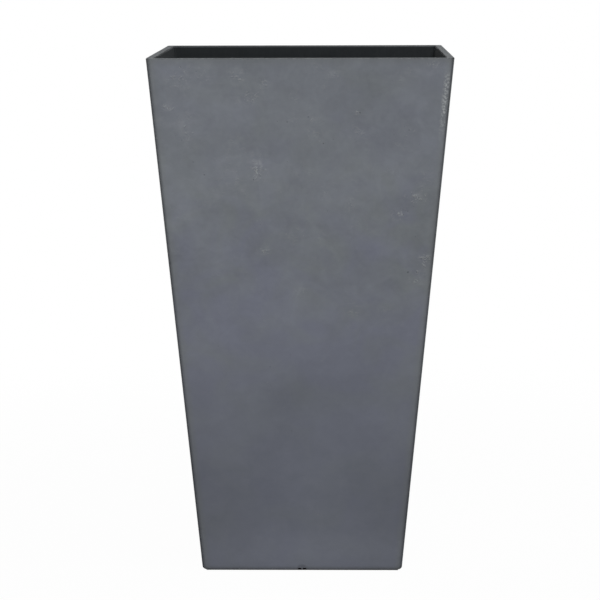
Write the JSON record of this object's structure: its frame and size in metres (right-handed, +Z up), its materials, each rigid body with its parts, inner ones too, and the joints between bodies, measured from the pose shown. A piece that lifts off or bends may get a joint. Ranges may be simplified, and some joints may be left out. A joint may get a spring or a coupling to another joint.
{
  "type": "tall tapered square planter",
  "caption": "Tall square floor planter that tapers to a narrower base, with a flat narrow rim, a dark lining, weep notches and a pull-out drain plug.",
  "frame": {"origin": "centre of the base, on the ground plane under the foot pads", "axes": "+Z up through the open top, +X to the right and -Y to the front as pictured"},
  "size_m": [0.406, 0.406, 0.711],
  "materials": {
    "shell_finish": "matte",
    "lining_coat": "matte",
    "panel_laminate": "matte",
    "plug_rubber": "matte",
    "pad_rubber": "matte"
  },
  "bodies": {
    "planter": {"outer_shell": "shell_finish", "inner_lining": "lining_coat", "base_panel": "panel_laminate", "foot_pad_front_left": "pad_rubber", "foot_pad_front_right": "pad_rubber", "foot_pad_back_left": "pad_rubber", "foot_pad_back_right": "pad_rubber"},
    "plug": {"drain_plug": "plug_rubber"}
  },
  "joints": [
    {"name": "plug_lift", "type": "slide", "parent": "planter", "child": "plug", "axis": [0, 0, 1], "range_m": [0, 0.705]}
  ]
}
